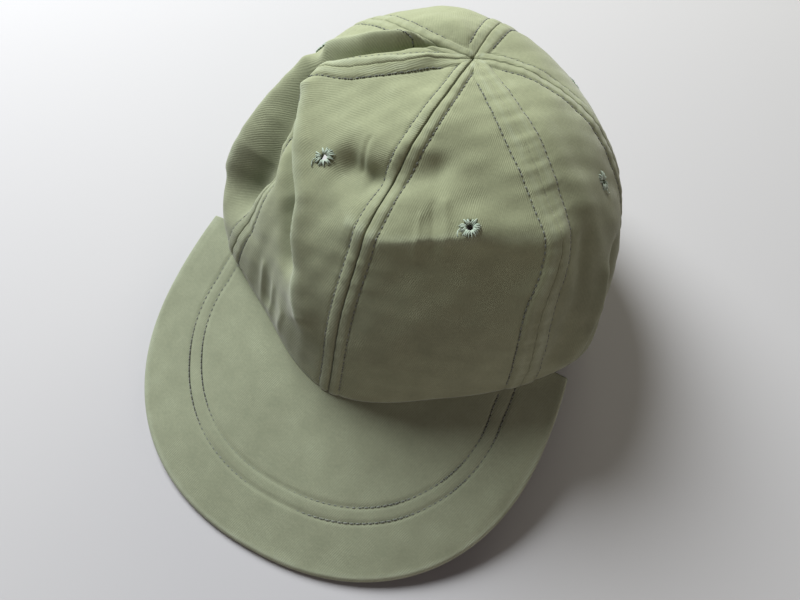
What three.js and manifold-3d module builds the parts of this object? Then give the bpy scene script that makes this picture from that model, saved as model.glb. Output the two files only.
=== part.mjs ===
// Field cap lying on a surface: six cloth crown panels, a stiff peak and six sewn eyelets.
// Millimetres, +Z up. The peak points to -Y and +X is the wearer's left.
// The cap rests on z = 0 with the tip of its peak and the rear of its hem.
import * as THREE from "three";
import { mergeVertices } from "three/addons/utils/BufferGeometryUtils.js";
import Module from "manifold-3d";

const wasm = await Module();
wasm.setup();

// Cloth and gaps
const CLOTH = 2.0; // wall of a crown panel
const SEAM_GAP = 0.3; // between two panels that are sewn together
const REST_GAP = 0.4; // between the hem and the top of the peak
const PANEL_ROWS = 22; // steps from the hem to the apex
const APEX_T = 0.995; // where the panels stop short of the apex

// Crown: the hem's centre in plan, and the point where all the seams meet
const HEM_X = 0;
const HEM_Y = 8;
const APEX = new THREE.Vector3(-0.5, 43, 110);
const INNER_AXIS_Y = 16; // the wall thickness points to an upright axis here
const INNER_AXIS_TOP = 45; // above this height it points to the top of that axis
const WALL_LENGTH = 165; // length of a seam from the hem to the apex

// Crown sections, one row each 30 degrees round from the rear.
// hem, shoulder and top are distances out from the axis, and the Z columns are their heights.
const SECTION_STEP = 30;
const SECTIONS = [
  { azimuth: -180, hem: 93.7, shoulder: 104, shoulderZ: 64, top: 53, topZ: 118 },
  { azimuth: -150, hem: 91, shoulder: 104, shoulderZ: 67, top: 58, topZ: 121 },
  { azimuth: -120, hem: 88.5, shoulder: 100, shoulderZ: 70, top: 58, topZ: 121 },
  { azimuth: -90, hem: 90, shoulder: 96.5, shoulderZ: 78, top: 58.5, topZ: 121.5 },
  { azimuth: -60, hem: 92, shoulder: 90.5, shoulderZ: 80.5, top: 60, topZ: 123 },
  { azimuth: -30, hem: 86, shoulder: 84.5, shoulderZ: 79.5, top: 63.5, topZ: 125.5 },
  { azimuth: 0, hem: 93.5, shoulder: 86, shoulderZ: 81.5, top: 69, topZ: 129 },
  { azimuth: 30, hem: 88, shoulder: 84, shoulderZ: 81.5, top: 69, topZ: 126 },
  { azimuth: 60, hem: 92, shoulder: 88, shoulderZ: 83.5, top: 69, topZ: 123.5 },
  { azimuth: 90, hem: 92, shoulder: 92, shoulderZ: 77, top: 58.5, topZ: 120 },
  { azimuth: 120, hem: 90.5, shoulder: 104.5, shoulderZ: 67.5, top: 51, topZ: 116.5 },
  { azimuth: 150, hem: 91, shoulder: 103, shoulderZ: 62.5, top: 49, topZ: 116.5 },
];

// Seams, from the rear round by the wearer's right: the azimuth at each of SEAM_T, from the hem up
const SEAM_T = [0, 0.15, 0.3, 0.45, 0.58, 0.7, 0.82, 1];
const SEAMS = {
  rear_start: [-180, -180, -180, -180, -180, -180, -180, -180],
  rear_right: [-116, -116, -115, -114, -112, -106, -95, -80],
  front_right: [-49, -48.5, -50, -59, -72, -62, -54, -42],
  front: [0, 0, -1, -1.5, -2, -1.5, 0, 2],
  front_left: [53, 52.5, 53, 57.5, 56.5, 54, 50, 46],
  rear_left: [111, 111, 111, 110, 110, 110, 110, 110],
  rear_end: [180, 180, 180, 180, 180, 180, 180, 180],
};

// Panels between two seams. The eyelet's place is given as azimuth and t.
const PANELS = [
  { name: "rear_right", from: "rear_start", to: "rear_right", columns: 11, eyelet: [-147, 0.52] },
  { name: "side_right", from: "rear_right", to: "front_right", columns: 14, eyelet: [-100, 0.5] },
  { name: "front_right", from: "front_right", to: "front", columns: 16, eyelet: [-31, 0.55] },
  { name: "front_left", from: "front", to: "front_left", columns: 14, eyelet: [28, 0.55] },
  { name: "side_left", from: "front_left", to: "rear_left", columns: 12, eyelet: [91, 0.49] },
  { name: "rear_left", from: "rear_left", to: "rear_end", columns: 11, eyelet: [145, 0.52] },
];

// Folds and dents, each with the columns path, width, height and sharpness. A path's places are
// azimuth and t, the share of the way from the hem to the apex. The height is out from the wall,
// or in where it is negative, and a low sharpness gives a creased edge.
const FOLDS = {
  right_edge: [[[-62, 0.575], [-46, 0.53], [-28, 0.445], [-12, 0.22]], 7, 6, 1.3],
  right_drop: [[[-60, 0.525], [-47, 0.48], [-34, 0.415], [-23, 0.3]], 6, -6.5, 2.2],
  right_step: [[[-58, 0.455], [-55, 0.42], [-51, 0.36]], 8, -5, 2.2],
  right_hollow: [[[-76, 0.53], [-66, 0.42], [-60, 0.3], [-60, 0.19]], 9, -14.5, 2.6],
  right_ramp: [[[-53, 0.34], [-50, 0.28], [-48, 0.2]], 9, -4, 2],
  right_rim: [[[-88, 0.5], [-78, 0.39], [-72, 0.27], [-70, 0.17]], 5, 3, 2],
  right_facet: [[[-36, 0.3], [-34, 0.2], [-30, 0.1]], 12, -2, 2],
  right_hem: [[[-62, 0.12], [-55, 0.05], [-45, 0.02]], 8, 1.5, 2],
  top_ridge: [[[-72, 0.6], [-64, 0.72], [-52, 0.88]], 7, 2, 1.6],
  top_crease: [[[-80, 0.6], [-76, 0.71], [-76, 0.81], [-84, 0.9]], 3.2, -6, 1.5],
  top_lip: [[[-87, 0.6], [-83, 0.72], [-84, 0.84]], 4, 3.5, 1.8],
  top_puff: [[[-108, 0.62], [-112, 0.8], [-135, 0.9]], 15, 2.5, 2],
  front_dimple: [[[-21, 0.58], [-16, 0.58], [-12, 0.585]], 6.5, -5.5, 2.1],
  front_hollow: [[[-5, 0.605], [3, 0.645], [12, 0.665]], 7.5, -4, 2.2],
  front_shoulder: [[[-8, 0.487], [3, 0.485], [14, 0.51], [28, 0.53]], 7, 3.6, 1.3],
  front_shoulder_end: [[[31, 0.53], [42, 0.515], [52, 0.5]], 10, 2.6, 1.8],
  left_corner: [[[58, 0.5], [55, 0.38], [53, 0.12]], 9, 2.5, 1.6],
  left_valley: [[[70, 0.42], [66, 0.27], [60, 0.12]], 6, -1.5, 2],
  left_fold: [[[80, 0.26], [72, 0.14], [64, 0.03]], 6, 2.5, 1.6],
  left_hollow: [[[92, 0.26], [82, 0.14], [74, 0.03]], 6, -3, 2],
};
const HEM_CALM = 0.08; // folds fade out over this share of the height above the hem
const APEX_CALM = 0.06; // and over this share below the apex

// The hem flares out on both sides, where the ends of the peak are under it
const FLARE_OUT = 4.5;
const FLARE_AZIMUTH = 72;
const FLARE_WIDTH = 13;

// Peak: a flat sheet bent over its length, sloping down to its tip
const PEAK_THICK = 3;
const PEAK_TIP = -153.6;
const PEAK_HALF_WIDTH = 93.5;
const PEAK_WIDEST_Y = -66.3;
const PEAK_ROUND = 2.19; // exponent of its front outline, 2 being an ellipse
const PEAK_END_TAPER = 4.8;
const PEAK_END_LENGTH = 40;
const PEAK_END_TURN = 0.9; // radians of outline behind its widest place
const PEAK_SLOPE = 19.9; // degrees
const PEAK_ARCH = 0.00115; // drop at x is PEAK_ARCH * x * x
const PEAK_UNDER = 3; // how far it reaches in under the hem
const PEAK_END_AZIMUTH = 61.5; // where its ends meet the hem
const PEAK_COLUMNS = 44;
const PEAK_ROWS = 5;
const RIM_INSET = 1.2; // the rim is rounded over this width
const RIM_THIN = 0.4; // its thickness as a share of the peak's

// Hem: it lies on the peak to SEATED, and comes down to the surface at LANDED
const SEATED = 66.5;
const LANDED = 150;

// Eyelets
const EYELET_HOLE = 1.7;
const EYELET_NECK = 2.6;
const EYELET_RADIUS = 4.7;
const EYELET_LIP = 0.9;
const EYELET_DEPTH = 2.4;
const EYELET_LIFT = 0.45; // between the lip and the cloth
const EYELET_SIDES = 16;
const PUNCH_RADIUS = EYELET_NECK + 0.35;
const PUNCH_LENGTH = 14;

const CLOTH_COLOR = 0x6f7566;
const PEAK_COLOR = 0x747a6d;
const THREAD_COLOR = 0xa9b5a2;

const { degToRad, clamp, lerp, smoothstep } = THREE.MathUtils;

// The height of the peak's top at a place in plan
function peakTop(x, y) {
  const run = y - (PEAK_TIP + RIM_INSET);
  return PEAK_THICK + Math.tan(degToRad(PEAK_SLOPE)) * run - PEAK_ARCH * x * x;
}

// A column of the section table at any azimuth, on a smooth closed curve through its rows
function section(azimuth, column) {
  const place = (azimuth + 180) / SECTION_STEP;
  const row = Math.floor(place);
  const f = place - row;
  const at = (k) => SECTIONS[(k + 2 * SECTIONS.length) % SECTIONS.length][column];
  const [p0, p1, p2, p3] = [at(row - 1), at(row), at(row + 1), at(row + 2)];
  const bend = 2 * p0 - 5 * p1 + 4 * p2 - p3 + f * (3 * (p1 - p2) + p3 - p0);
  return p1 + 0.5 * f * (p2 - p0 + f * bend);
}

// The hem's place in plan, a depth inside its outer face
function hemPlace(azimuth, depth) {
  const flare = Math.exp(-(((Math.abs(azimuth) - FLARE_AZIMUTH) / FLARE_WIDTH) ** 2));
  const radius = section(azimuth, "hem") + FLARE_OUT * flare - depth;
  const x = HEM_X + radius * Math.sin(degToRad(azimuth));
  const y = HEM_Y - radius * Math.cos(degToRad(azimuth));
  return { x, y };
}

// The hem lies on the peak at the front, then falls to the surface at the sides
function hemHeight(azimuth, depth) {
  const turn = Math.abs(azimuth);
  const seat = hemPlace(clamp(azimuth, -SEATED, SEATED), depth);
  const onPeak = peakTop(seat.x, seat.y) + REST_GAP;
  return onPeak * (1 - smoothstep(turn, SEATED, LANDED));
}

// The length of one degree of azimuth at t, for measuring folds in millimetres
function degreeLength(t) {
  return 1.5 * (1 - t ** 3);
}

function distanceToPath(azimuth, t, path) {
  const scale = degreeLength(path[1][1]);
  let nearest = Infinity;
  for (let k = 0; k < path.length - 1; k++) {
    const px = (azimuth - path[k][0]) * scale;
    const py = (t - path[k][1]) * WALL_LENGTH;
    const dx = (path[k + 1][0] - path[k][0]) * scale;
    const dy = (path[k + 1][1] - path[k][1]) * WALL_LENGTH;
    const along = clamp((px * dx + py * dy) / (dx * dx + dy * dy), 0, 1);
    nearest = Math.min(nearest, Math.hypot(px - along * dx, py - along * dy));
  }
  return nearest;
}

function foldHeight(azimuth, t) {
  let sum = 0;
  for (const [path, width, height, sharp] of Object.values(FOLDS)) {
    const distance = distanceToPath(azimuth, t, path);
    sum += height * Math.exp(-((distance / width) ** sharp));
  }
  return sum * smoothstep(t, 0, HEM_CALM) * smoothstep(1 - t, 0, APEX_CALM);
}

// The way out through the wall: level low down, and fanning out over the top
function wallDirection(point) {
  const up = Math.max(point.z - INNER_AXIS_TOP, 0);
  return new THREE.Vector3(point.x - HEM_X, point.y - INNER_AXIS_Y, up).normalize();
}

// The outer face of the crown: a cubic curve from the hem up to the apex, with the folds added
function crownPoint(azimuth, t) {
  const sin = Math.sin(degToRad(azimuth));
  const cos = -Math.cos(degToRad(azimuth));
  const hem = hemPlace(azimuth, 0);
  const shoulder = section(azimuth, "shoulder");
  const top = section(azimuth, "top");
  const curve = new THREE.CubicBezierCurve3(
    new THREE.Vector3(hem.x, hem.y, hemHeight(azimuth, 0)),
    new THREE.Vector3(HEM_X + shoulder * sin, HEM_Y + shoulder * cos, section(azimuth, "shoulderZ")),
    new THREE.Vector3(APEX.x + top * sin, APEX.y + top * cos, section(azimuth, "topZ")),
    APEX,
  );
  const point = curve.getPoint(t);
  return point.addScaledVector(wallDirection(point), foldHeight(azimuth, t));
}

function crownNormal(azimuth, t) {
  const step = 0.01;
  const across = crownPoint(azimuth + 1, t).sub(crownPoint(azimuth - 1, t));
  const along = crownPoint(azimuth, t + step).sub(crownPoint(azimuth, t - step));
  return across.cross(along).normalize();
}

// The slope of a seam's row at one of its places
function seamSlope(values, k) {
  if (k === 0) {
    return (values[1] - values[0]) / (SEAM_T[1] - SEAM_T[0]);
  }
  if (k === SEAM_T.length - 1) {
    return (values[k] - values[k - 1]) / (SEAM_T[k] - SEAM_T[k - 1]);
  }
  const before = SEAM_T[k] - SEAM_T[k - 1];
  const after = SEAM_T[k + 1] - SEAM_T[k];
  const low = (values[k] - values[k - 1]) / before;
  const high = (values[k + 1] - values[k]) / after;
  return (low * after + high * before) / (before + after);
}

// The seam's azimuth at t, on a smooth line through its row of the table
function seamAzimuth(seam, t) {
  const values = SEAMS[seam];
  let k = 0;
  while (k < SEAM_T.length - 2 && t > SEAM_T[k + 1]) {
    k++;
  }
  const span = SEAM_T[k + 1] - SEAM_T[k];
  const f = (t - SEAM_T[k]) / span;
  const start = (1 + 2 * f) * (1 - f) ** 2 * values[k] + f * (1 - f) ** 2 * span * seamSlope(values, k);
  const end = f * f * (3 - 2 * f) * values[k + 1] + f * f * (f - 1) * span * seamSlope(values, k + 1);
  return start + end;
}

// A closed solid between two grids of points, grid[row][column], the outer one facing out
function sheetGeometry(outer, inner) {
  const rows = outer.length - 1;
  const columns = outer[0].length - 1;
  const width = columns + 1;
  const inside = (rows + 1) * width;
  const positions = [];
  for (const grid of [outer, inner]) {
    for (const row of grid) {
      for (const point of row) {
        positions.push(point.x, point.y, point.z);
      }
    }
  }
  const index = [];
  const quad = (a, b, c, d) => index.push(a, b, c, a, c, d);
  for (let j = 0; j < rows; j++) {
    for (let i = 0; i < columns; i++) {
      const a = j * width + i;
      quad(a, a + 1, a + 1 + width, a + width);
      quad(inside + a, inside + a + width, inside + a + 1 + width, inside + a + 1);
    }
  }
  for (let i = 0; i < columns; i++) {
    const last = rows * width + i;
    quad(i, inside + i, inside + i + 1, i + 1);
    quad(last, last + 1, inside + last + 1, inside + last);
  }
  for (let j = 0; j < rows; j++) {
    const a = j * width;
    const b = a + columns;
    quad(a, a + width, inside + a + width, inside + a);
    quad(b, inside + b, inside + b + width, b + width);
  }
  const geometry = new THREE.BufferGeometry();
  geometry.setAttribute("position", new THREE.Float32BufferAttribute(positions, 3));
  geometry.setIndex(index);
  return geometry;
}

function toManifold(geometry) {
  const bare = geometry.clone();
  bare.deleteAttribute("normal");
  bare.deleteAttribute("uv");
  const merged = mergeVertices(bare);
  const vertProperties = new Float32Array(merged.attributes.position.array);
  const triVerts = new Uint32Array(merged.index.array);
  return new wasm.Manifold(new wasm.Mesh({ numProp: 3, vertProperties, triVerts }));
}

function fromManifold(solid) {
  const mesh = solid.getMesh();
  const geometry = new THREE.BufferGeometry();
  geometry.setAttribute("position", new THREE.Float32BufferAttribute(mesh.vertProperties, 3));
  geometry.setIndex(Array.from(mesh.triVerts));
  return geometry;
}

// The place of a panel's eyelet, with its Y axis pointing out through the wall
function eyeletPlace(panel) {
  const [azimuth, t] = panel.eyelet;
  const normal = crownNormal(azimuth, t);
  const turn = new THREE.Quaternion().setFromUnitVectors(new THREE.Vector3(0, 1, 0), normal);
  return { position: crownPoint(azimuth, t), turn };
}

// One crown panel, a wall between two seams with a round hole for its eyelet
function panelGeometry(panel) {
  const outer = [];
  const inner = [];
  for (let j = 0; j <= PANEL_ROWS; j++) {
    const t = (APEX_T * j) / PANEL_ROWS;
    const from = seamAzimuth(panel.from, t);
    const to = seamAzimuth(panel.to, t);
    const degree = crownPoint(from + 1, t).distanceTo(crownPoint(from, t));
    const inset = SEAM_GAP / 2 / degree;
    const outerRow = [];
    const innerRow = [];
    for (let i = 0; i <= panel.columns; i++) {
      const azimuth = lerp(from + inset, to - inset, i / panel.columns);
      const point = crownPoint(azimuth, t);
      const back = point.clone().addScaledVector(wallDirection(point), -CLOTH);
      if (j === 0) {
        back.z = hemHeight(azimuth, CLOTH);
      }
      outerRow.push(point);
      innerRow.push(back);
    }
    outer.push(outerRow);
    inner.push(innerRow);
  }
  const place = eyeletPlace(panel);
  const punch = new THREE.CylinderGeometry(PUNCH_RADIUS, PUNCH_RADIUS, PUNCH_LENGTH, EYELET_SIDES);
  punch.applyQuaternion(place.turn);
  punch.translate(place.position.x, place.position.y, place.position.z);
  return fromManifold(toManifold(sheetGeometry(outer, inner)).subtract(toManifold(punch)));
}

// The outline of the peak in plan, from its right end by the tip to its left end, inset by a margin
function peakOutline(turn, margin) {
  const sin = Math.sin(turn);
  const cos = Math.cos(turn);
  if (cos < 0) {
    const x = Math.sign(sin) * (PEAK_HALF_WIDTH - margin - PEAK_END_TAPER * cos * cos);
    return { x, y: PEAK_WIDEST_Y - cos * PEAK_END_LENGTH };
  }
  const reach = PEAK_WIDEST_Y - PEAK_TIP - margin;
  const x = (PEAK_HALF_WIDTH - margin) * Math.sign(sin) * Math.abs(sin) ** (2 / PEAK_ROUND);
  return { x, y: PEAK_WIDEST_Y - reach * cos ** (2 / PEAK_ROUND) };
}

function peakGeometry() {
  const top = [];
  const under = [];
  const farTurn = Math.PI / 2 + PEAK_END_TURN;
  for (let j = -1; j <= PEAK_ROWS; j++) {
    const topRow = [];
    const underRow = [];
    const thick = j < 0 ? PEAK_THICK * RIM_THIN : PEAK_THICK;
    for (let i = 0; i <= PEAK_COLUMNS; i++) {
      const side = (2 * i) / PEAK_COLUMNS - 1;
      const rim = peakOutline(side * farTurn, j < 0 ? 0 : RIM_INSET);
      const azimuth = side * PEAK_END_AZIMUTH;
      const tucked = hemPlace(azimuth, PEAK_UNDER);
      const inward = Math.max(j, 0) / PEAK_ROWS;
      const x = lerp(rim.x, tucked.x, inward);
      const y = lerp(rim.y, tucked.y, inward);
      const middle = peakTop(x, y) - PEAK_THICK / 2;
      topRow.push(new THREE.Vector3(x, y, middle + thick / 2));
      underRow.push(new THREE.Vector3(x, y, middle - thick / 2));
    }
    top.push(topRow);
    under.push(underRow);
  }
  return sheetGeometry(top, under);
}

// A sewn eyelet: a short neck through the cloth with a round lip on the outside
function eyeletGeometry() {
  const lipTop = EYELET_LIFT + EYELET_LIP;
  const profile = [
    [EYELET_HOLE, -EYELET_DEPTH],
    [EYELET_NECK, -EYELET_DEPTH],
    [EYELET_NECK, EYELET_LIFT],
    [EYELET_RADIUS, EYELET_LIFT],
    [EYELET_RADIUS - EYELET_LIP / 2, lipTop],
    [EYELET_HOLE, lipTop],
    [EYELET_HOLE, -EYELET_DEPTH],
  ].map(([x, y]) => new THREE.Vector2(x, y));
  const geometry = new THREE.LatheGeometry(profile, EYELET_SIDES);
  geometry.deleteAttribute("normal");
  geometry.deleteAttribute("uv");
  return mergeVertices(geometry);
}

function fabric(color) {
  return new THREE.MeshStandardMaterial({ color, roughness: 0.95, metalness: 0 });
}

const cap = new THREE.Group();

for (const panel of PANELS) {
  const mesh = new THREE.Mesh(panelGeometry(panel), fabric(CLOTH_COLOR));
  mesh.name = `panel_${panel.name}`;
  cap.add(mesh);
}

const peak = new THREE.Mesh(peakGeometry(), fabric(PEAK_COLOR));
peak.name = "peak";
cap.add(peak);

for (const panel of PANELS) {
  const place = eyeletPlace(panel);
  const mesh = new THREE.Mesh(eyeletGeometry(), fabric(THREAD_COLOR));
  mesh.name = `eyelet_${panel.name}`;
  mesh.position.copy(place.position);
  mesh.quaternion.copy(place.turn);
  cap.add(mesh);
}

// The origin is the middle of the cap's box, on the surface that it rests on
const box = new THREE.Box3().setFromObject(cap);
const middle = box.getCenter(new THREE.Vector3());
cap.position.set(-middle.x, -middle.y, 0);

export default cap;
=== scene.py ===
import math

import bpy
import numpy as np
from mathutils import Matrix, Vector


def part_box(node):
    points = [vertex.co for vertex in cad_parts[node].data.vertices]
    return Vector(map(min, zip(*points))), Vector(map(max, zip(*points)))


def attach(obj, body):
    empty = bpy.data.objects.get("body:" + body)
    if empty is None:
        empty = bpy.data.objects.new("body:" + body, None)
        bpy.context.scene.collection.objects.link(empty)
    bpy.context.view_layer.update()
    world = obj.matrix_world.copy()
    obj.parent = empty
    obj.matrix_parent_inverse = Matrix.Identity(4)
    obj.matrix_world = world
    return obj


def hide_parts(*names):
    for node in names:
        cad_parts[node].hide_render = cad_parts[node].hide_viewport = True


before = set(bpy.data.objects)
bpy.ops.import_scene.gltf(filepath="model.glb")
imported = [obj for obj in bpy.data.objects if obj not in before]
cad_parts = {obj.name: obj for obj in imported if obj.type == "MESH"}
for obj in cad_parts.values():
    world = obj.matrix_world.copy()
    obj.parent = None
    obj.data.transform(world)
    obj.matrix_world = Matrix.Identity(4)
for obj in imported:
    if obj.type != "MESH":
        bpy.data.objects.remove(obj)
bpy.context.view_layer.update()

MM = 0.001

# Crown form: the hem's centre, the apex, the wall's inner axis, its length from hem to apex,
# a degree's length at the hem, the cloth's thickness and the gap at a seam
HEM_Y = 8.0
APEX = np.array([-0.5, 43.0, 110.0])
INNER_AXIS_Y = 16.0
INNER_AXIS_TOP = 45.0
WALL_LENGTH = 165.0
DEGREE_AT_HEM = 1.5
CLOTH = 1.7
SEAM_GAP = 0.12
APEX_T = 0.996

# Sections each 30 degrees round from the rear: hem radius, shoulder radius and height,
# top radius and height
SECTION_STEP = 30.0
SECTION_COLUMNS = ["hem", "shoulder", "shoulder_z", "top", "top_z"]
SECTIONS = np.array([
    [93.7, 104.0, 64.0, 53.0, 118.0],
    [91.0, 104.0, 67.0, 58.0, 121.0],
    [88.5, 100.0, 70.0, 58.0, 121.0],
    [90.0, 96.5, 78.0, 58.5, 121.5],
    [92.0, 90.5, 80.5, 60.0, 123.0],
    [86.0, 84.5, 79.5, 63.5, 125.5],
    [93.5, 86.0, 81.5, 69.0, 129.0],
    [88.0, 84.0, 81.5, 69.0, 126.0],
    [92.0, 88.0, 83.5, 69.0, 123.5],
    [92.0, 92.0, 77.0, 58.5, 120.0],
    [90.5, 104.5, 67.5, 51.0, 116.5],
    [91.0, 103.0, 62.5, 49.0, 116.5],
])

# Seams: azimuth at each of SEAM_T from the hem up, width of the strip on each side, groove's share
SEAM_T = [0.0, 0.15, 0.3, 0.45, 0.58, 0.7, 0.82, 1.0]
SEAMS = {
    "rear_start": ([-180, -180, -180, -180, -180, -180, -180, -180], 6.4, 0.6),
    "rear_right": ([-116, -116, -115, -114, -112, -106, -95, -80], 6.2, 0.6),
    "front_right": ([-49, -48.5, -50, -59, -72, -62, -54, -42], 5.4, 0.45),
    "front": ([0, 0, -1, -1.5, -2, -1.5, 0, 2], 4.8, 1.0),
    "front_left": ([53, 52.5, 53, 57.5, 56.5, 54, 50, 46], 6.8, 0.25),
    "rear_left": ([111, 111, 111, 110, 110, 110, 110, 110], 6.2, 0.6),
    "rear_end": ([180, 180, 180, 180, 180, 180, 180, 180], 6.4, 0.6),
}
PANELS = {
    "rear_right": ("rear_start", "rear_right"),
    "side_right": ("rear_right", "front_right"),
    "front_right": ("front_right", "front"),
    "front_left": ("front", "front_left"),
    "side_left": ("front_left", "rear_left"),
    "rear_left": ("rear_left", "rear_end"),
}

# Folds: the places (azimuth, t) that each runs through, then width, height and sharpness
FOLDS = {
    "right edge": ([(-62, 0.575), (-46, 0.53), (-28, 0.445), (-12, 0.22)], 7.0, 6.0, 1.3),
    "right drop": ([(-60, 0.525), (-47, 0.48), (-34, 0.415), (-23, 0.3)], 6.0, -6.5, 2.2),
    "right step": ([(-58, 0.455), (-55, 0.42), (-51, 0.36)], 8.0, -5.0, 2.2),
    "right hollow": ([(-76, 0.53), (-66, 0.42), (-60, 0.3), (-60, 0.19)], 9.0, -14.5, 2.6),
    "right ramp": ([(-53, 0.34), (-50, 0.28), (-48, 0.2)], 9.0, -4.0, 2.0),
    "right rim": ([(-88, 0.5), (-78, 0.39), (-72, 0.27), (-70, 0.17)], 5.0, 3.0, 2.0),
    "right facet": ([(-36, 0.3), (-34, 0.2), (-30, 0.1)], 12.0, -2.0, 2.0),
    "right hem": ([(-62, 0.12), (-55, 0.05), (-45, 0.02)], 8.0, 1.5, 2.0),
    "top ridge": ([(-72, 0.6), (-64, 0.72), (-52, 0.88)], 7.0, 2.0, 1.6),
    "top crease": ([(-80, 0.6), (-76, 0.71), (-76, 0.81), (-84, 0.9)], 3.2, -6.0, 1.5),
    "top lip": ([(-87, 0.6), (-83, 0.72), (-84, 0.84)], 4.0, 3.5, 1.8),
    "top puff": ([(-108, 0.62), (-112, 0.8), (-135, 0.9)], 15.0, 2.5, 2.0),
    "front dimple": ([(-21, 0.58), (-16, 0.58), (-12, 0.585)], 6.5, -5.5, 2.1),
    "front hollow": ([(-5, 0.605), (3, 0.645), (12, 0.665)], 7.5, -4.0, 2.2),
    "front shoulder": ([(-8, 0.487), (3, 0.485), (14, 0.51), (28, 0.53)], 7.0, 3.6, 1.3),
    "front shoulder end": ([(31, 0.53), (42, 0.515), (52, 0.5)], 10.0, 2.6, 1.8),
    "left corner": ([(58, 0.5), (55, 0.38), (53, 0.12)], 9.0, 2.5, 1.6),
    "left valley": ([(70, 0.42), (66, 0.27), (60, 0.12)], 6.0, -1.5, 2.0),
    "left fold": ([(80, 0.26), (72, 0.14), (64, 0.03)], 6.0, 2.5, 1.6),
    "left hollow": ([(92, 0.26), (82, 0.14), (74, 0.03)], 6.0, -3.0, 2.0),
}
# Small creases that only the finished cloth has
CREASES = {
    "dimple fold": ([(-20, 0.66), (-18, 0.62), (-17, 0.59)], 1.3, -0.7, 1.6),
    "front pleat a": ([(12, 0.56), (13, 0.52), (14, 0.47)], 1.3, 0.5, 1.7),
    "front pleat b": ([(19, 0.6), (21, 0.55), (22, 0.49)], 1.8, 0.7, 1.7),
    "front pleat c": ([(15, 0.59), (17, 0.54), (18, 0.5)], 1.5, -0.55, 1.7),
    "hem pucker a": ([(-34, 0.17), (-33, 0.09), (-32, 0.02)], 2.2, 1.0, 1.5),
    "hem pucker b": ([(-27, 0.15), (-27, 0.08), (-27, 0.02)], 2.0, 0.9, 1.5),
    "hem pucker c": ([(-20, 0.13), (-21, 0.07), (-21, 0.02)], 2.0, 0.8, 1.5),
}
# Folds fade out over these shares of the wall, at the hem and at the apex
HEM_CALM = 0.08
APEX_CALM = 0.06

# Felled seams: a groove with a rounded strip and a row of stitches on each side
GROOVE_HALF = 0.7
GROOVE_DEEP = 0.45
STRIP_HIGH = 0.55
STRIP_TAPER = 0.25
STRIP_TAPER_T = 0.7
STRIP_ROUND = 0.7
ROW_DIP = 0.3
ROW_DIP_WIDTH = 0.8
PUCKER_HIGH = 0.1
PUCKER_REACH = 8.0
PUCKER_LENGTH = 7.0
SECOND_PUCKER_HIGH = 0.6
SECOND_PUCKER_LENGTH = PUCKER_LENGTH * 0.61

# Rows of stitches run between these values of t: they stop where the strips meet near the apex
ROW_START_T = 0.012
ROW_END_T = {"front": 0.955, "rear_start": 0.955}
ROW_END_DEFAULT = 0.915

# Unevenness of the cloth: height, length and seed of its waves, and the shares of the wall
# over which it fades out
CROWN_WAVES = [(0.45, 34.0, 3), (0.18, 13.0, 5)]
PEAK_WAVES = [(0.10, 16.0, 21), (0.25, 60.0, 22)]
WAVE_COUNT = 7
EVEN_AT_HEM = 0.05
EVEN_AT_APEX = 0.1

# The hem flares where the peak ends under it
FLARE_OUT = 4.5
FLARE_AZIMUTH = 72.0
FLARE_WIDTH = 13.0

# Peak
PEAK_THICK = 3.0
PEAK_TIP = -153.6
PEAK_HALF_WIDTH = 93.5
PEAK_WIDEST_Y = -66.3
PEAK_ROUND = 2.19
PEAK_END_TAPER = 4.8
PEAK_END_LENGTH = 40.0
PEAK_END_TURN = 0.9
PEAK_SLOPE = 19.9
PEAK_ARCH = 0.00115
PEAK_UNDER = 3.0
PEAK_END_AZIMUTH = 61.5
RIM_INSET = 1.2
PEAK_ROWS_IN = (20.9, 26.9)
PEAK_ROW_WAIST = 1.6
PEAK_ROW_DIP = 0.4
PEAK_ROW_DIP_WIDTH = 0.9
PEAK_ROW_DIP_UNDER = 0.3
PEAK_COLUMNS = 260
PEAK_STEPS = 100

# Where the hem turns from lying on the peak to lying on the floor, as azimuths
SEATED = 66.5
LANDED = 150.0
REST_GAP = 0.4

# Eyelets: azimuth and t of each panel's own
EYELETS = {
    "rear_right": (-147.0, 0.52),
    "side_right": (-100.0, 0.5),
    "front_right": (-31.0, 0.55),
    "front_left": (28.0, 0.55),
    "side_left": (91.0, 0.49),
    "rear_left": (145.0, 0.52),
}
HOLE_RADIUS = 1.7
HOLE_EASE = 6.0
HOLE_CUT = 0.95
EYELET_STITCHES = 25
EYELET_GAPS = 0.12
EYELET_REACH = 4.3
EYELET_SIDES = 7
EYELET_THREAD = [0.20, 0.27, 0.31, 0.31, 0.26, 0.12]
EYELET_TAIL_TURN = -2.3
EYELET_TAIL_THICK = 0.24
# The loose thread end: radius, height and turn of each of its points
EYELET_TAIL = [(3.2, 0.1, 0.0), (3.8, 0.75, 0.05), (4.5, 0.7, 0.14), (5.1, 0.5, 0.26), (5.6, 0.4, 0.4),
               (6.0, 0.35, 0.52)]

# Stitches
STITCH_SEED = 11
STITCH_PITCH = 2.6
STITCH_LENGTH = 1.6
STITCH_RADIUS = 0.3
PIT_RADIUS = 0.36

# Ribs of the twill, from one to the next, and their slant across and along a panel
TWILL_PITCH = 0.8
TWILL_ACROSS = 0.95
TWILL_ALONG = -0.31
UV_SCALE = 0.01

# Wear and painted shade: 0.5 is plain cloth, more is rubbed pale, and less is darker: dust, with painted
# shade in the seams' grooves and along rows of stitches
PLAIN = 0.5
INSIDE_WEAR = 0.4
STRIP_WEAR = 0.16
GROOVE_DUST_AND_SHADE = -0.32
ROW_DUST_AND_SHADE = -0.16
FOLD_WEAR = 0.05
HEM_WEAR = 0.30
RIM_WEAR = 0.26
PEAK_ROW_DUST_AND_SHADE = -0.13

# Mesh steps of a panel, and how much its columns crowd at the seams
PANEL_COLUMNS = 112
PANEL_STEPS = 168
EDGE_CROWD = 0.55

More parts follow.
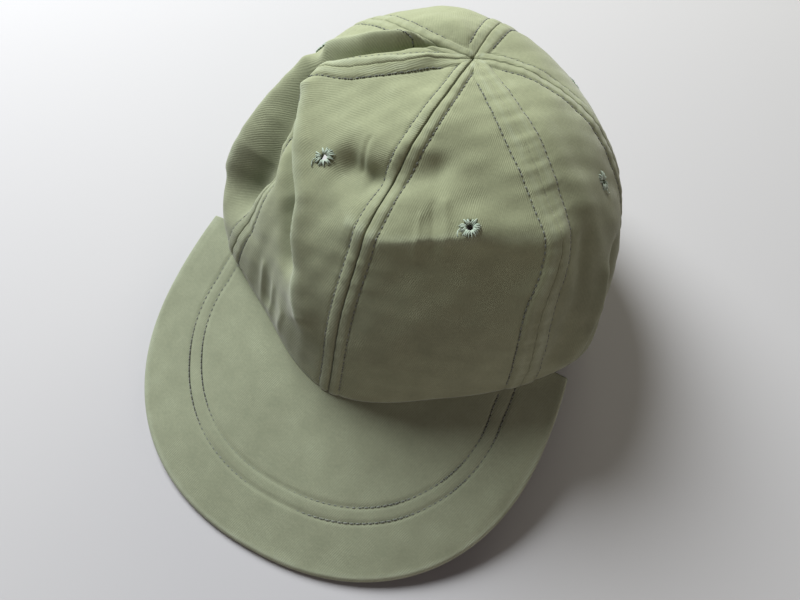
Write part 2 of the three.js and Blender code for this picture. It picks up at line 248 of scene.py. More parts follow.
# Lights: turn from +X and elevation in degrees, power, size, colour
LIGHT_DISTANCE = 1.5
LIGHTS = {
    "window": (153.0, 42.0, 48.0, 0.9, (0.94, 0.955, 1.0)),
    "behind": (90.0, 22.0, 11.0, 1.0, (1.0, 0.96, 0.80)),
    "warm_bounce": (315.0, 15.0, 5.6, 1.0, (1.0, 0.80, 0.80)),
}
SKY_COLOR = (0.75, 0.77, 0.8, 1.0)
SKY_STRENGTH = 0.04
FLOOR_SIZE = 8.0
FLOOR_DROP = 0.0002
FLOOR_COLOR = (0.43, 0.43, 0.425, 1.0)

# Camera: its place in the tables' millimetres, its axes and its lens
CAMERA_PLACE = (63.6, -175.1, 299.0)
CAMERA_RIGHT = (0.8924, 0.4479, 0.0537)
CAMERA_UP = (-0.4135, 0.7646, 0.4944)
CAMERA_BACK = (0.1804, -0.4635, 0.8676)
CAMERA_LENS = 30.03
CAMERA_SENSOR = 36.0
CAMERA_NEAR = 0.01

# The tables have their own origin, so the peak's tip gives the shift to the frame
tip_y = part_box("peak")[0][1]
SHIFT = np.array([0.0, tip_y - PEAK_TIP * MM, 0.0])


def placed(points):
    """Table millimetres as metres in the frame."""
    return points * MM + SHIFT


def smoothstep(x, low, high):
    """0 below low, 1 above high, and smooth between."""
    k = np.clip((x - low) / (high - low), 0.0, 1.0)
    return k * k * (3.0 - 2.0 * k)


def section(azimuth, column):
    """A column of SECTIONS at any azimuth, on a smooth closed curve through its rows."""
    place = (azimuth + 180.0) / SECTION_STEP
    row = np.floor(place).astype(int)
    f = place - row
    values = SECTIONS[:, SECTION_COLUMNS.index(column)]
    count = len(values)
    p0, p1, p2, p3 = [values[(row + k) % count] for k in (-1, 0, 1, 2)]
    bend = 2 * p0 - 5 * p1 + 4 * p2 - p3 + f * (3 * (p1 - p2) + p3 - p0)
    return p1 + 0.5 * f * (p2 - p0 + f * bend)


def peak_top(x, y):
    """Height of the peak's upper face: it slopes up from the tip and falls to both sides."""
    run = y - (PEAK_TIP + RIM_INSET)
    return PEAK_THICK + math.tan(math.radians(PEAK_SLOPE)) * run - PEAK_ARCH * x * x


def hem_radius(azimuth):
    """Radius of the hem's outer edge, with the flare beside each end of the peak."""
    flare = np.exp(-(((np.abs(azimuth) - FLARE_AZIMUTH) / FLARE_WIDTH) ** 2))
    return section(azimuth, "hem") + FLARE_OUT * flare


def hem_place(azimuth, depth):
    """A place on the hem in plan, depth in from its outer edge."""
    radius = hem_radius(azimuth) - depth
    turn = np.radians(azimuth)
    return radius * np.sin(turn), HEM_Y - radius * np.cos(turn)


def hem_height(azimuth, depth):
    """Height of the hem: on the peak in front, and down to the floor behind it."""
    x, y = hem_place(np.clip(azimuth, -SEATED, SEATED), depth)
    on_peak = peak_top(x, y) + REST_GAP
    return on_peak * (1.0 - smoothstep(np.abs(azimuth), SEATED, LANDED))


def path_distance(azimuth, t, path):
    """Distance along the cloth from a path of (azimuth, t) places, about in millimetres."""
    scale = DEGREE_AT_HEM * (1.0 - path[1][1] ** 3)
    nearest = np.full(np.shape(azimuth), np.inf)
    for (a0, t0), (a1, t1) in zip(path[:-1], path[1:]):
        px, py = (azimuth - a0) * scale, (t - t0) * WALL_LENGTH
        dx, dy = (a1 - a0) * scale, (t1 - t0) * WALL_LENGTH
        along = np.clip((px * dx + py * dy) / (dx * dx + dy * dy), 0.0, 1.0)
        nearest = np.minimum(nearest, np.hypot(px - along * dx, py - along * dy))
    return nearest


def fold_height(azimuth, t):
    """How far the folds and creases lift or sink the cloth."""
    total = np.zeros(np.shape(azimuth))
    for path, width, height, sharp in list(FOLDS.values()) + list(CREASES.values()):
        total += height * np.exp(-((path_distance(azimuth, t, path) / width) ** sharp))
    return total * smoothstep(t, 0.0, HEM_CALM) * smoothstep(1.0 - t, 0.0, APEX_CALM)


def wall_direction(points):
    """Unit vectors out from a vertical axis, and above INNER_AXIS_TOP from its top end."""
    up = np.maximum(points[..., 2] - INNER_AXIS_TOP, 0.0)
    out = np.stack([points[..., 0], points[..., 1] - INNER_AXIS_Y, up], -1)
    return out / np.linalg.norm(out, axis=-1, keepdims=True)


def smooth_form(azimuth, t):
    """The crown's outer face before its folds."""
    turn = np.radians(azimuth)
    ray = np.stack([np.sin(turn), -np.cos(turn)], -1)
    hem_x, hem_y = hem_place(azimuth, 0.0)
    p0 = np.stack([hem_x, hem_y, hem_height(azimuth, 0.0)], -1)
    shoulder = section(azimuth, "shoulder")[..., None] * ray
    p1 = np.concatenate([shoulder, section(azimuth, "shoulder_z")[..., None]], -1)
    p1[..., 1] += HEM_Y
    top = section(azimuth, "top")[..., None] * ray + APEX[:2]
    p2 = np.concatenate([top, section(azimuth, "top_z")[..., None]], -1)
    k = t[..., None]
    return (1 - k) ** 3 * p0 + 3 * k * (1 - k) ** 2 * p1 + 3 * k * k * (1 - k) * p2 + k ** 3 * APEX


def crown_form(azimuth, t):
    """The crown's outer face with its folds, before seams and fine relief."""
    points = smooth_form(azimuth, t)
    return points + wall_direction(points) * fold_height(azimuth, t)[..., None]


def degree_length(azimuth, t, form=crown_form):
    """Length of one degree of azimuth on the cloth."""
    return np.linalg.norm(form(azimuth + 0.5, t) - form(azimuth - 0.5, t), axis=-1)


def seam_azimuth(seam, t):
    """The seam's azimuth at t, on a smooth line through its row of the table."""
    places, values = np.array(SEAM_T), np.array(SEAMS[seam][0], float)
    slopes = np.gradient(values, places)
    t = np.asarray(t, float)
    k = np.clip(np.searchsorted(places, t) - 1, 0, len(places) - 2)
    span = places[k + 1] - places[k]
    f = (t - places[k]) / span
    start = (1 + 2 * f) * (1 - f) ** 2 * values[k] + f * (1 - f) ** 2 * span * slopes[k]
    end = f * f * (3 - 2 * f) * values[k + 1] + f * f * (f - 1) * span * slopes[k + 1]
    return start + end


def strip_width(seam, t):
    """The strip beside a seam, narrower towards the apex."""
    return SEAMS[seam][1] * (1.0 - STRIP_TAPER * smoothstep(np.asarray(t, float), STRIP_TAPER_T, 1.0))


def seam_relief(distance, width, share, along, seed):
    """Height of the cloth at a distance from a seam: groove, rounded strip, row of stitches.

    share is how much of the groove shows: at 0 both strips make one flat band.
    """
    place = np.clip(distance / width, 0.0, 1.0)
    round_strip = np.clip(4.0 * place * (1.0 - place), 0.0, 1.0) ** STRIP_ROUND
    flat_band = np.sqrt(np.clip(1.0 - place ** 4, 0.0, 1.0))
    strip = STRIP_HIGH * (share * round_strip + (1.0 - share) * flat_band)
    groove = -GROOVE_DEEP * share * (1.0 - smoothstep(distance, 0.0, GROOVE_HALF))
    dip = -ROW_DIP * np.exp(-(((distance - width) / ROW_DIP_WIDTH) ** 2))
    beat = np.sin(along * 2 * math.pi / PUCKER_LENGTH + seed)
    second = np.sin(along * 2 * math.pi / SECOND_PUCKER_LENGTH + 2.3 * seed)
    beat = beat + SECOND_PUCKER_HIGH * second
    pucker = PUCKER_HIGH * beat * np.exp(-((distance / PUCKER_REACH) ** 2))
    return strip + groove + dip + pucker


def waves(points, length, seed):
    """Smooth unevenness made of a few crossing waves."""
    rng = np.random.default_rng(seed)
    total = np.zeros(points.shape[:-1])
    for _ in range(WAVE_COUNT):
        direction = rng.normal(size=3)
        direction /= np.linalg.norm(direction)
        scale = 2 * math.pi / (length * rng.uniform(0.6, 1.6))
        total += np.sin(points @ direction * scale + rng.uniform(0, 2 * math.pi))
    return total / math.sqrt(WAVE_COUNT)


def unevenness(points, table):
    """The sum of the waves in a table of heights, lengths and seeds."""
    return sum(height * waves(points, length, seed) for height, length, seed in table)


def crown_surface(panel, azimuth, t):
    """The finished outer face of a panel: folds, seams at both edges and unevenness."""
    start, end = PANELS[panel]
    form = crown_form(azimuth, t)
    degree = degree_length(azimuth, t)
    along = t * WALL_LENGTH
    to_start = np.abs(azimuth - seam_azimuth(start, t)) * degree
    to_end = np.abs(seam_azimuth(end, t) - azimuth) * degree
    seeds = list(SEAMS)
    near_start = seam_relief(to_start, strip_width(start, t), SEAMS[start][2], along, seeds.index(start))
    near_end = seam_relief(to_end, strip_width(end, t), SEAMS[end][2], along, seeds.index(end))
    relief = np.where(to_start < to_end, near_start, near_end)
    calm = smoothstep(t, 0.0, EVEN_AT_HEM) * smoothstep(1.0 - t, 0.0, EVEN_AT_APEX)
    uneven = unevenness(form, CROWN_WAVES) * calm
    return form + wall_direction(form) * (relief + uneven)[..., None]


def sheet_mesh(name, outer, inner, uv, rub_and_shade, keep=None):
    """A closed sheet between two grids of points, with the cells that keep leaves out cut away."""
    rows, columns = outer.shape[0] - 1, outer.shape[1] - 1
    if keep is None:
        keep = np.ones((rows, columns), bool)
    width = columns + 1
    inside = (rows + 1) * width
    corner = np.arange(rows)[:, None] * width + np.arange(columns)[None, :]
    kept = corner[keep]
    front = np.stack([kept, kept + 1, kept + 1 + width, kept + width], -1)
    back = front[:, ::-1] + inside
    border = np.zeros((rows + 2, columns + 2), bool)
    border[1:-1, 1:-1] = keep
    own = border[1:-1, 1:-1]
    sides = []
    steps = [(0, 1, 0, 1), (2, 1, 1 + width, width), (1, 0, width, 0), (1, 2, 1, 1 + width)]
    for row_step, column_step, first, second in steps:
        near = border[row_step:row_step + rows, column_step:column_step + columns]
        edge = corner[own & ~near]
        a, b = edge + first, edge + second
        sides.append(np.stack([a, a + inside, b + inside, b], -1))
    faces = np.concatenate([front, back] + sides)
    points = np.concatenate([outer.reshape(-1, 3), inner.reshape(-1, 3)])
    used = np.unique(faces)
    renumber = np.zeros(len(points), int)
    renumber[used] = np.arange(len(used))
    faces = renumber[faces]
    mesh = bpy.data.meshes.new(name)
    mesh.from_pydata(placed(points[used]).tolist(), [], faces.tolist())
    layer = mesh.uv_layers.new(name="cloth")
    both = np.concatenate([uv.reshape(-1, 2), uv.reshape(-1, 2)])[used]
    layer.data.foreach_set("uv", both[faces.ravel()].ravel() * UV_SCALE)
    # Rubbing with painted shade: pale where rubbed, dark with dust and painted shade in grooves and
    # along rows of stitches
    rubbed = np.concatenate([rub_and_shade.reshape(-1), np.full(rub_and_shade.size, INSIDE_WEAR)])[used]
    mesh.attributes.new("rub_and_shade", "FLOAT", "POINT").data.foreach_set("value", rubbed)
    mesh.polygons.foreach_set("use_smooth", np.ones(len(faces), bool))
    mesh.validate()
    piece = bpy.data.objects.new(name, mesh)
    bpy.context.scene.collection.objects.link(piece)
    return piece


def finished(piece, material, slot, *nodes):
    """Gives a piece its material, and the nodes that it takes the place of. slot is not used."""
    piece.data.materials.append(material)
    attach(piece, "root")
    if nodes:
        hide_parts(*nodes)


# Materials
def new_material(name, roughness, sheen):
    material = bpy.data.materials.new(name)
    material.use_nodes = True
    shader = material.node_tree.nodes["Principled BSDF"]
    shader.inputs["Roughness"].default_value = roughness
    shader.inputs["Sheen Weight"].default_value = sheen
    shader.inputs["Sheen Roughness"].default_value = 0.45
    shader.inputs["Specular IOR Level"].default_value = 0.25
    return material, shader


class Nodes:
    """Short ways to add and join shader nodes."""

    def __init__(self, material):
        self.tree = material.node_tree

    def add(self, kind, inputs=None, **settings):
        node = self.tree.nodes.new(kind)
        for key, value in settings.items():
            setattr(node, key, value)
        for key, value in (inputs or {}).items():
            if isinstance(value, bpy.types.NodeSocket):
                self.tree.links.new(value, node.inputs[key])
            else:
                node.inputs[key].default_value = value
        return node

    def math(self, operation, a, b=0.0):
        return self.add("ShaderNodeMath", {0: a, 1: b}, operation=operation).outputs[0]

    def noise(self, place, scale, detail):
        inputs = {"Vector": place, "Scale": scale, "Detail": detail}
        return self.add("ShaderNodeTexNoise", inputs).outputs["Fac"]

    def ramp(self, factor, stops):
        node = self.add("ShaderNodeValToRGB", {"Fac": factor})
        for element, (position, color) in zip(node.color_ramp.elements, stops):
            element.position = position
            element.color = (*color, 1.0)
        return node.outputs["Color"]

    def mix(self, factor, first, color):
        inputs = {0: factor, 6: first, 7: (*color, 1.0)}
        return self.add("ShaderNodeMix", inputs, data_type="RGBA", blend_type="MIX").outputs[2]

    def join(self, output, target):
        self.tree.links.new(output, target)


def cloth_material(name, dark, light, rubbed, dust_and_shade, lit_top_tone):
    """Cotton twill: fine diagonal ribs, slow shifts of tone, pale rubbed edges, a painted highlight on
    the top, and dust with painted shade in grooves and along rows of stitches.
    """
    material, shader = new_material(name, 0.9, 0.18)
    n = Nodes(material)
    uv = n.add("ShaderNodeUVMap", uv_map="cloth").outputs["UV"]
    split = n.add("ShaderNodeSeparateXYZ", {0: uv})
    across, along = split.outputs[0], split.outputs[1]
    place = n.add("ShaderNodeTexCoord").outputs["Object"]
    slow = n.noise(place, 14.0, 3.0)
    mid = n.noise(place, 110.0, 4.0)
    fine = n.noise(place, 900.0, 2.0)
    slub = n.noise(uv, 60.0, 2.0)
    turns = 2.0 * math.pi / (TWILL_PITCH * UV_SCALE)
    bent = n.math("MULTIPLY", n.math("SUBTRACT", mid, 0.5), 0.010)
    slanted = n.math("ADD", n.math("MULTIPLY", across, TWILL_ACROSS),
                     n.math("MULTIPLY", along, TWILL_ALONG))
    ribs = n.math("SINE", n.math("MULTIPLY", n.math("ADD", slanted, bent), turns))
    shown = n.ramp(mid, [(0.35, (0.25, 0.25, 0.25)), (0.65, (1.0, 1.0, 1.0))])
    weave = n.math("MULTIPLY", ribs, shown)
    tone = n.math("ADD", n.math("MULTIPLY", slow, 0.55), n.math("MULTIPLY", mid, 0.45))
    base = n.ramp(tone, [(0.36, dark), (0.64, light)])
    # Painted highlight: the cloth turns lighter above a height, on the crown's top where the key light
    # falls
    height = n.add("ShaderNodeSeparateXYZ", {0: place}).outputs[2]
    top = n.ramp(n.math("ADD", height, n.math("MULTIPLY", slow, 0.03)),
                 [(0.085, (0.0, 0.0, 0.0)), (0.125, (1.0, 1.0, 1.0))])
    with_lit_top = n.mix(n.math("MULTIPLY", top, 0.55), base, lit_top_tone)
    rub_and_shade = n.add("ShaderNodeAttribute", attribute_name="rub_and_shade").outputs["Fac"]
    patchy = n.math("MULTIPLY", n.math("SUBTRACT", mid, 0.5), 0.35)
    pale = n.ramp(n.math("ADD", rub_and_shade, patchy), [(0.55, (0.0, 0.0, 0.0)), (0.95, (1.0, 1.0, 1.0))])
    worn = n.mix(n.math("MULTIPLY", pale, 0.7), with_lit_top, rubbed)
    # Painted shade with dust: dark where the attribute is low, in grooves and along rows of stitches
    dust_and_shade_mask = n.ramp(rub_and_shade, [(0.1, (1.0, 1.0, 1.0)), (0.42, (0.0, 0.0, 0.0))])
    with_dust_and_shade = n.mix(n.math("MULTIPLY", dust_and_shade_mask, 0.75), worn, dust_and_shade)
    lines = n.math("ADD", n.math("MULTIPLY", weave, 0.10), n.math("MULTIPLY", fine, 0.22))
    grain = n.math("ADD", lines, n.math("ADD", n.math("MULTIPLY", slub, 0.10), 0.84))
    shaded = n.add("ShaderNodeMix", {0: 1.0, 6: with_dust_and_shade, 7: grain},
                   data_type="RGBA", blend_type="MULTIPLY")
    n.join(shaded.outputs[2], shader.inputs["Base Color"])
    relief = n.math("ADD", n.math("MULTIPLY", weave, 0.34), n.math("MULTIPLY", fine, 0.6))
    bump = n.add("ShaderNodeBump", {"Height": relief, "Strength": 0.5, "Distance": 0.00022})
    n.join(bump.outputs["Normal"], shader.inputs["Normal"])
    return material


def thread_material(name, dark, light):
    """Twisted thread, with a fine ply along it."""
    material, shader = new_material(name, 0.75, 0.3)
    n = Nodes(material)
    place = n.add("ShaderNodeTexCoord").outputs["Object"]
    n.join(n.ramp(n.noise(place, 900.0, 3.0), [(0.3, dark), (0.7, light)]), shader.inputs["Base Color"])
    ply = n.noise(place, 3500.0, 2.0)
    bump = n.add("ShaderNodeBump", {"Height": ply, "Strength": 0.5, "Distance": 0.0001})
    n.join(bump.outputs["Normal"], shader.inputs["Normal"])
    return material


# In each cloth, the last colour is a painted highlight for the crown's top, and the one before it is
# dust with painted shade in grooves and along rows of stitches
crown_cloth = cloth_material("crown_cloth", dark=(0.184, 0.2, 0.121), light=(0.240, 0.262, 0.161),
                             rubbed=(0.336, 0.38, 0.265), dust_and_shade=(0.064, 0.07, 0.041),
                             lit_top_tone=(0.292, 0.322, 0.178))
# Painted light: the peak's twill is lighter than the crown's, for the stronger light that falls on the
# peak
peak_cloth = cloth_material("peak_cloth", dark=(0.222, 0.245, 0.157), light=(0.276, 0.305, 0.199),
                            rubbed=(0.353, 0.392, 0.28), dust_and_shade=(0.067, 0.073, 0.044),
                            lit_top_tone=(0.268, 0.298, 0.19))
# Painted shade: the seam and peak threads are darker than the cloth, for the shade where the stitches
# sink into it
shaded_seam_thread = thread_material("shaded_seam_thread", (0.1, 0.112, 0.09), (0.175, 0.19, 0.152))
shaded_peak_thread = thread_material("shaded_peak_thread", (0.12, 0.135, 0.112), (0.19, 0.207, 0.17))
eyelet_thread = thread_material("eyelet_thread", (0.26, 0.325, 0.25), (0.44, 0.53, 0.42))
# Painted shade: near-black discs stand for the dark inside the needle holes
pit_shade = thread_material("hole_shade", (0.036, 0.039, 0.03), (0.06, 0.065, 0.05))


# Crown
def panel_grid(panel):
    """A panel's grid of azimuth and t, from seam to seam and from hem to apex."""
    start, end = PANELS[panel]
    s = np.linspace(0.0, 1.0, PANEL_COLUMNS + 1)
    u = s - EDGE_CROWD * np.sin(2 * math.pi * s) / (2 * math.pi)
    t = np.linspace(0.0, APEX_T, PANEL_STEPS + 1)[:, None] * np.ones_like(u)[None]
    low, high = seam_azimuth(start, t), seam_azimuth(end, t)
    inset_low = SEAM_GAP / 2 / degree_length(low, t)
    inset_high = SEAM_GAP / 2 / degree_length(high, t)
    azimuth = (low + inset_low) * (1 - u) + (high - inset_high) * u
    return azimuth, t


def open_hole(panel, azimuth, t):
    """Moves the grid aside round the eyelet and says which cells stay."""
    centre, centre_t = EYELETS[panel]
    scale = float(degree_length(np.array(centre), np.array(centre_t)))
    dx = (azimuth - centre) * scale
    dy = (t - centre_t) * WALL_LENGTH
    radius = np.hypot(dx, dy)
    moved = HOLE_RADIUS + radius * (HOLE_EASE - HOLE_RADIUS) / HOLE_EASE
    grow = np.where(radius < HOLE_EASE, moved / np.maximum(radius, 1e-6), 1.0)
    cell = (radius[1:, 1:] + radius[:-1, 1:] + radius[1:, :-1] + radius[:-1, :-1]) / 4
    keep = cell > HOLE_CUT
    return centre + dx * grow / scale, centre_t + dy * grow / WALL_LENGTH, keep


def panel_rub_and_shade(panel, azimuth, t):
    """Where the cloth is rubbed pale: strips, fold edges and the hem. Grooves and rows of stitches are
    darkened by dust and painted shade.
    """
    start, end = PANELS[panel]
    degree = degree_length(azimuth, t)
    rub_and_shade = np.full(azimuth.shape, PLAIN)
    for seam in (start, end):
        distance = np.abs(azimuth - seam_azimuth(seam, t)) * degree
        width = strip_width(seam, t)
        rub_and_shade += STRIP_WEAR * np.exp(-(((distance - width / 2) / (width * 0.22)) ** 2))
        # Painted shade with dust in the groove and along the row of stitches
        rub_and_shade += GROOVE_DUST_AND_SHADE * SEAMS[seam][2] * np.exp(-((distance / 0.55) ** 2))
        rub_and_shade += ROW_DUST_AND_SHADE * np.exp(-(((distance - width) / 0.7) ** 2))
    for name, (path, width, height, _) in FOLDS.items():
        if height > 0 and "puff" not in name:
            rub_and_shade += FOLD_WEAR * height * np.exp(-((path_distance(azimuth, t, path) / 3.0) ** 2))
    rub_and_shade += HEM_WEAR * np.exp(-((t * WALL_LENGTH / 1.6) ** 2))
    return rub_and_shade


def make_panel(panel):
    """One cloth panel of the crown, in place of its node."""
    azimuth, t = panel_grid(panel)
    azimuth, t, keep = open_hole(panel, azimuth, t)
    outer = crown_surface(panel, azimuth, t)
    inner = outer - wall_direction(outer) * CLOTH
    inner[0, :, 2] = hem_height(azimuth[0], CLOTH)
    middle = (seam_azimuth(PANELS[panel][0], t) + seam_azimuth(PANELS[panel][1], t)) / 2
    across = (azimuth - middle) * degree_length(middle, t, smooth_form)
    uv = np.stack([across, t * WALL_LENGTH], -1)
    piece = sheet_mesh(f"cloth_panel_{panel}", outer, inner, uv, panel_rub_and_shade(panel, azimuth, t), keep)
    finished(piece, crown_cloth, "crown_cloth", f"panel_{panel}")


for panel in PANELS:
    make_panel(panel)


# Stitches
def tube_points(centres, directions, normals, radii, sides):
    """Rings of points round a line of centres, for many short threads at once."""
    across = np.cross(directions, normals)
    angles = np.arange(sides) * 2 * math.pi / sides
    ring = (np.cos(angles)[:, None] * across[..., None, :]
            + np.sin(angles)[:, None] * normals[..., None, :])
    return centres[..., None, :] + ring * radii[..., None, None]


def threads_mesh(name, rings):
    """One mesh of many closed threads. rings has thread, ring, side and coordinate."""
    count, length, sides, _ = rings.shape
    base = np.arange(count)[:, None, None] * length * sides
    ring = base + np.arange(length - 1)[None, :, None] * sides
    side = np.arange(sides)[None, None, :]
    after = (side + 1) % sides
    quads = np.stack([ring + side, ring + after, ring + sides + after, ring + sides + side], -1)
    caps_low = (base[:, 0, 0][:, None] + np.arange(sides)[None, ::-1])
    caps_high = (base[:, 0, 0][:, None] + (length - 1) * sides + np.arange(sides)[None, :])
    faces = quads.reshape(-1, 4).tolist() + caps_low.tolist() + caps_high.tolist()
    mesh = bpy.data.meshes.new(name)
    mesh.from_pydata(placed(rings.reshape(-1, 3)).tolist(), [], faces)
    mesh.polygons.foreach_set("use_smooth", np.ones(len(faces), bool))
    piece = bpy.data.objects.new(name, mesh)
    bpy.context.scene.collection.objects.link(piece)
    return piece


def stitch_frames(line, normals, phase=0.0):
    """Evenly spaced places along a line of points, with its direction and normal there."""
    steps = np.linalg.norm(np.diff(line, axis=0), axis=1)
    length = np.concatenate([[0.0], np.cumsum(steps)])
    places = np.arange(STITCH_PITCH * (0.5 + phase), length[-1], STITCH_PITCH)

    def at(values, where):
        return np.stack([np.interp(where, length, values[:, k]) for k in range(3)], -1)

    def unit(values):
        return values / np.linalg.norm(values, axis=-1, keepdims=True)

    centres = at(line, places)
    directions = unit(at(line, places + 0.6) - at(line, places - 0.6))
    outward = at(normals, places)
    outward = unit(outward - (outward * directions).sum(-1, keepdims=True) * directions)
    return centres, directions, outward


def stitch_rings(centres, directions, outward, rng):
    """A short arched thread at each place, its two ends sunk in the cloth."""
    shape = np.array([-1.0, -0.72, 0.0, 0.72, 1.0])
    lift = np.array([-0.22, 0.02, 0.14, 0.02, -0.22])
    thick = np.array([0.5, 0.95, 1.0, 0.95, 0.5]) * STITCH_RADIUS
    half = STITCH_LENGTH / 2 * rng.uniform(0.88, 1.08, len(centres))
    slant = rng.normal(0.0, 0.05, len(centres))
    across = np.cross(directions, outward)
    heading = directions + across * slant[:, None]
    points = (centres[:, None] + heading[:, None] * (shape[None, :, None] * half[:, None, None])
              + outward[:, None] * lift[None, :, None])
    spread = np.broadcast_to(heading[:, None], points.shape)
    normals = np.broadcast_to(outward[:, None], points.shape)
    radii = np.broadcast_to(thick, points.shape[:2])
    return tube_points(points, spread, normals, radii, 6)


def pit_rings(centres, directions, outward):
    """A small dark disc between one stitch and the next: painted shade of a needle hole."""
    middles = centres + directions * STITCH_PITCH / 2
    levels = np.array([-0.25, 0.035])
    points = middles[:, None] + outward[:, None] * levels[None, :, None]
    spread = np.broadcast_to(outward[:, None], points.shape)
    normals = np.broadcast_to(directions[:, None], points.shape)
    radii = np.broadcast_to(np.array([PIT_RADIUS, PIT_RADIUS]), points.shape[:2])
    return tube_points(points, spread, normals, radii, 8)


def surface_normals(function, azimuth, t):
    """Normals of a surface given as a function of azimuth and t."""
    across = function(azimuth + 0.4, t) - function(azimuth - 0.4, t)
    along = function(azimuth, t + 0.004) - function(azimuth, t - 0.004)
    normal = np.cross(across, along)
    return normal / np.linalg.norm(normal, axis=-1, keepdims=True)


def seam_row(panel, seam, side):
    """The line of one row of stitches, on a panel beside a seam."""
    t = np.linspace(ROW_START_T, ROW_END_T.get(seam, ROW_END_DEFAULT), 260)
    centre = seam_azimuth(seam, t)
    azimuth = centre.copy()
    for _ in range(3):
        azimuth = centre + side * strip_width(seam, t) / degree_length((azimuth + centre) / 2, t)
    line = crown_surface(panel, azimuth, t)
    return line, surface_normals(crown_form, azimuth, t)


rng = np.random.default_rng(STITCH_SEED)
rows_rings, rows_pits = [], []
for panel, (start, end) in PANELS.items():
    for seam, side in ((start, 1), (end, -1)):
        line, normals = seam_row(panel, seam, side)
        places = stitch_frames(line, normals, rng.uniform(0, 0.9))
        rows_rings.append(stitch_rings(*places, rng))
        rows_pits.append(pit_rings(*places))
finished(threads_mesh("stitches_crown", np.concatenate(rows_rings)), shaded_seam_thread, "crown_cloth")
# Dark discs of painted shade at the needle holes
finished(threads_mesh("hole_shades_crown", np.concatenate(rows_pits)), pit_shade, "crown_cloth")


# Worked eyelets
def make_eyelet(panel):
    """Uneven buttonhole stitches round a hole, with the thread's end left loose."""
    azimuth, t = (np.array(value) for value in EYELETS[panel])
    centre = crown_surface(panel, azimuth, t)
    normal = surface_normals(crown_form, azimuth, t)
    side = np.cross(np.array([0.0, 0.0, 1.0]), normal)
    side /= np.linalg.norm(side)
    up = np.cross(normal, side)

    def at(angle, radius, height):
        return centre + (side * math.cos(angle) + up * math.sin(angle)) * radius + normal * height

    lines, thick = [], []
    for k in range(EYELET_STITCHES):
        if rng.random() < EYELET_GAPS:
            continue
        angle = 2 * math.pi * (k + rng.uniform(-0.3, 0.3)) / EYELET_STITCHES
        twist = angle + rng.normal(0.08, 0.09)
        reach = EYELET_REACH + rng.uniform(-0.7, 0.4)
        puff = rng.uniform(0.75, 1.15)
        profile = [(1.6, -0.8, angle), (1.4, -0.1, angle), (1.8, 0.45 * puff, angle),
                   (2.7, 0.55 * puff, twist), (reach - 0.6, 0.34 * puff, twist), (reach, -0.25, twist)]
        lines.append([at(a, r, h) for r, h, a in profile])
        thick.append(np.array(EYELET_THREAD) * rng.uniform(0.85, 1.1))
    lines.append([at(EYELET_TAIL_TURN + a, r, h) for r, h, a in EYELET_TAIL])
    thick.append(np.full(len(EYELET_TAIL), EYELET_TAIL_THICK))
    lines = np.array(lines)
    heading = np.gradient(lines, axis=1)
    heading /= np.linalg.norm(heading, axis=-1, keepdims=True)
    outward = np.cross(heading, np.cross(np.broadcast_to(normal, heading.shape) + 1e-3, heading))
    outward /= np.linalg.norm(outward, axis=-1, keepdims=True)
    rings = tube_points(lines, heading, outward, np.array(thick), EYELET_SIDES)
    piece = threads_mesh(f"worked_eyelet_{panel}", rings)
    finished(piece, eyelet_thread, "eyelet_thread", f"eyelet_{panel}")


for panel in PANELS:
    make_eyelet(panel)


# Peak
def peak_outline(turn):
    """The peak's outline in plan: round in front, then straight back to its ends."""
    sin, cos = np.sin(turn), np.cos(turn)
    reach = PEAK_WIDEST_Y - PEAK_TIP
    front_x = PEAK_HALF_WIDTH * np.sign(sin) * np.abs(sin) ** (2 / PEAK_ROUND)
    front_y = PEAK_WIDEST_Y - reach * np.maximum(cos, 0.0) ** (2 / PEAK_ROUND)
    end_x = np.sign(sin) * (PEAK_HALF_WIDTH - PEAK_END_TAPER * cos * cos)
    end_y = PEAK_WIDEST_Y - cos * PEAK_END_LENGTH
    behind = cos < 0
    return np.where(behind, end_x, front_x), np.where(behind, end_y, front_y)


def peak_place(side, margin):
    """A place on the peak in plan: side runs from -1 to 1 round it, margin in from its rim."""
    rim_x, rim_y = peak_outline(side * (math.pi / 2 + PEAK_END_TURN))
    azimuth = side * PEAK_END_AZIMUTH
    tucked_x, tucked_y = hem_place(azimuth, PEAK_UNDER)
    length = np.hypot(tucked_x - rim_x, tucked_y - rim_y)
    share = margin / length
    return rim_x + (tucked_x - rim_x) * share, rim_y + (tucked_y - rim_y) * share, length


def row_margin(row, side):
    """How far a row of stitches runs inside the rim."""
    return row + PEAK_ROW_WAIST * np.exp(-(((np.abs(side) - 0.4) / 0.22) ** 2))


def make_peak():
    """The peak as one closed sheet, rounded at its rim and sunk under its rows of stitches."""
    side = np.linspace(-1.0, 1.0, PEAK_COLUMNS + 1)[None, :]
    _, _, length = peak_place(side, 0.0)
    share = np.linspace(0.0, 1.0, PEAK_STEPS + 1)[:, None] ** 1.25
    margin = share * length
    x, y, _ = peak_place(side, margin)
    round_off = np.sqrt(np.clip(1 - (1 - np.minimum(margin / RIM_INSET, 1.0)) ** 2, 0.02, 1))
    half = PEAK_THICK / 2 * round_off
    aside = [(margin - row_margin(row, side)) / PEAK_ROW_DIP_WIDTH for row in PEAK_ROWS_IN]
    rows = sum(np.exp(-(distance ** 2)) for distance in aside)
    points = np.stack([x, y, peak_top(x, y)], -1)
    quilted = unevenness(points, PEAK_WAVES) - PEAK_ROW_DIP * rows
    quilted = quilted * smoothstep(margin, 1.0, 6.0) * smoothstep(length - margin, 2.0, 8.0)
    centre_z = peak_top(x, y) - PEAK_THICK / 2
    top = np.stack([x, y, centre_z + half + quilted], -1)
    under = np.stack([x, y, centre_z - half + PEAK_ROW_DIP_UNDER * rows], -1)
    uv = np.stack([x, y], -1)
    edge = np.exp(-(((margin - 1.0) / 1.6) ** 2))
    # Pale rubbed rim; painted shade with dust along the rows of stitches
    rub_and_shade = PLAIN + RIM_WEAR * edge + PEAK_ROW_DUST_AND_SHADE * rows
    piece = sheet_mesh("cloth_peak", top, under, uv, rub_and_shade)
    finished(piece, peak_cloth, "peak_cloth", "peak")


make_peak()


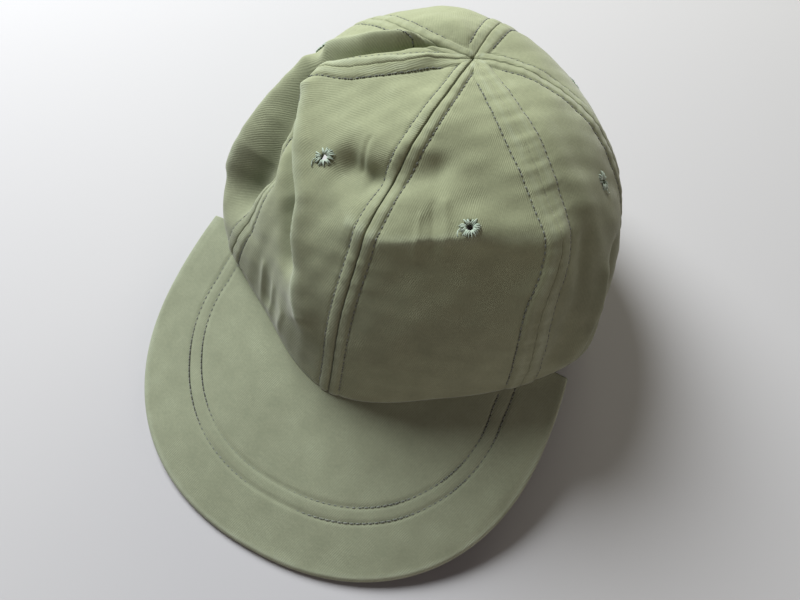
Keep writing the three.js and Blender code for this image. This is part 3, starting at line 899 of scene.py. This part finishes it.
def peak_rows():
    """The two rows of stitches round the peak, with dark discs of painted shade at their needle holes.
    """
    rings, pits = [], []
    side = np.linspace(-0.97, 0.97, 900)
    for row in PEAK_ROWS_IN:
        x, y, length = peak_place(side, row_margin(row, side))
        line = np.stack([x, y, peak_top(x, y) - PEAK_ROW_DIP], -1)
        line = line[length > row + 4]
        normals = np.broadcast_to(np.array([0.0, -math.sin(math.radians(PEAK_SLOPE)),
                                            math.cos(math.radians(PEAK_SLOPE))]), line.shape)
        places = stitch_frames(line, normals)
        rings.append(stitch_rings(*places, rng))
        pits.append(pit_rings(*places))
    finished(threads_mesh("stitches_peak", np.concatenate(rings)), shaded_peak_thread, "peak_cloth")
    finished(threads_mesh("hole_shades_peak", np.concatenate(pits)), pit_shade, "peak_cloth")


peak_rows()


# Floor, light and camera
def make_floor():
    """A pale plain floor, just under the cap."""
    bpy.ops.mesh.primitive_plane_add(size=FLOOR_SIZE, location=(0.0, 0.0, -FLOOR_DROP))
    floor = bpy.context.object
    floor.name = "floor"
    material, shader = new_material("floor", 0.8, 0.0)
    shader.inputs["Base Color"].default_value = FLOOR_COLOR
    floor.data.materials.append(material)


def area_light(name, turn, elevation, power, size, color):
    """A soft round light at a turn from +X and an elevation, in degrees."""
    data = bpy.data.lights.new(name, "AREA")
    data.shape = "DISK"
    data.size = size
    data.energy = power
    data.color = color
    light = bpy.data.objects.new(name, data)
    a, e = math.radians(turn), math.radians(elevation)
    direction = Vector((math.cos(a) * math.cos(e), math.sin(a) * math.cos(e), math.sin(e)))
    light.location = direction * LIGHT_DISTANCE
    light.rotation_euler = direction.to_track_quat("Z", "Y").to_euler()
    bpy.context.scene.collection.objects.link(light)


def make_camera():
    """The camera in the photo's place."""
    data = bpy.data.cameras.new("camera")
    data.lens = CAMERA_LENS
    data.sensor_width = CAMERA_SENSOR
    data.clip_start = CAMERA_NEAR
    camera = bpy.data.objects.new("camera", data)
    turn = Matrix((CAMERA_RIGHT, CAMERA_UP, CAMERA_BACK)).transposed().to_4x4()
    place = placed(np.array(CAMERA_PLACE))
    camera.matrix_world = Matrix.Translation(Vector(place)) @ turn
    bpy.context.scene.collection.objects.link(camera)
    bpy.context.scene.camera = camera


make_floor()
for name, (turn, elevation, power, size, color) in LIGHTS.items():
    area_light(name, turn, elevation, power, size, color)
make_camera()

world = bpy.data.worlds.new("studio")
world.use_nodes = True
sky = world.node_tree.nodes["Background"]
sky.inputs["Color"].default_value = SKY_COLOR
sky.inputs["Strength"].default_value = SKY_STRENGTH
bpy.context.scene.world = world
bpy.context.scene.view_settings.view_transform = "Standard"
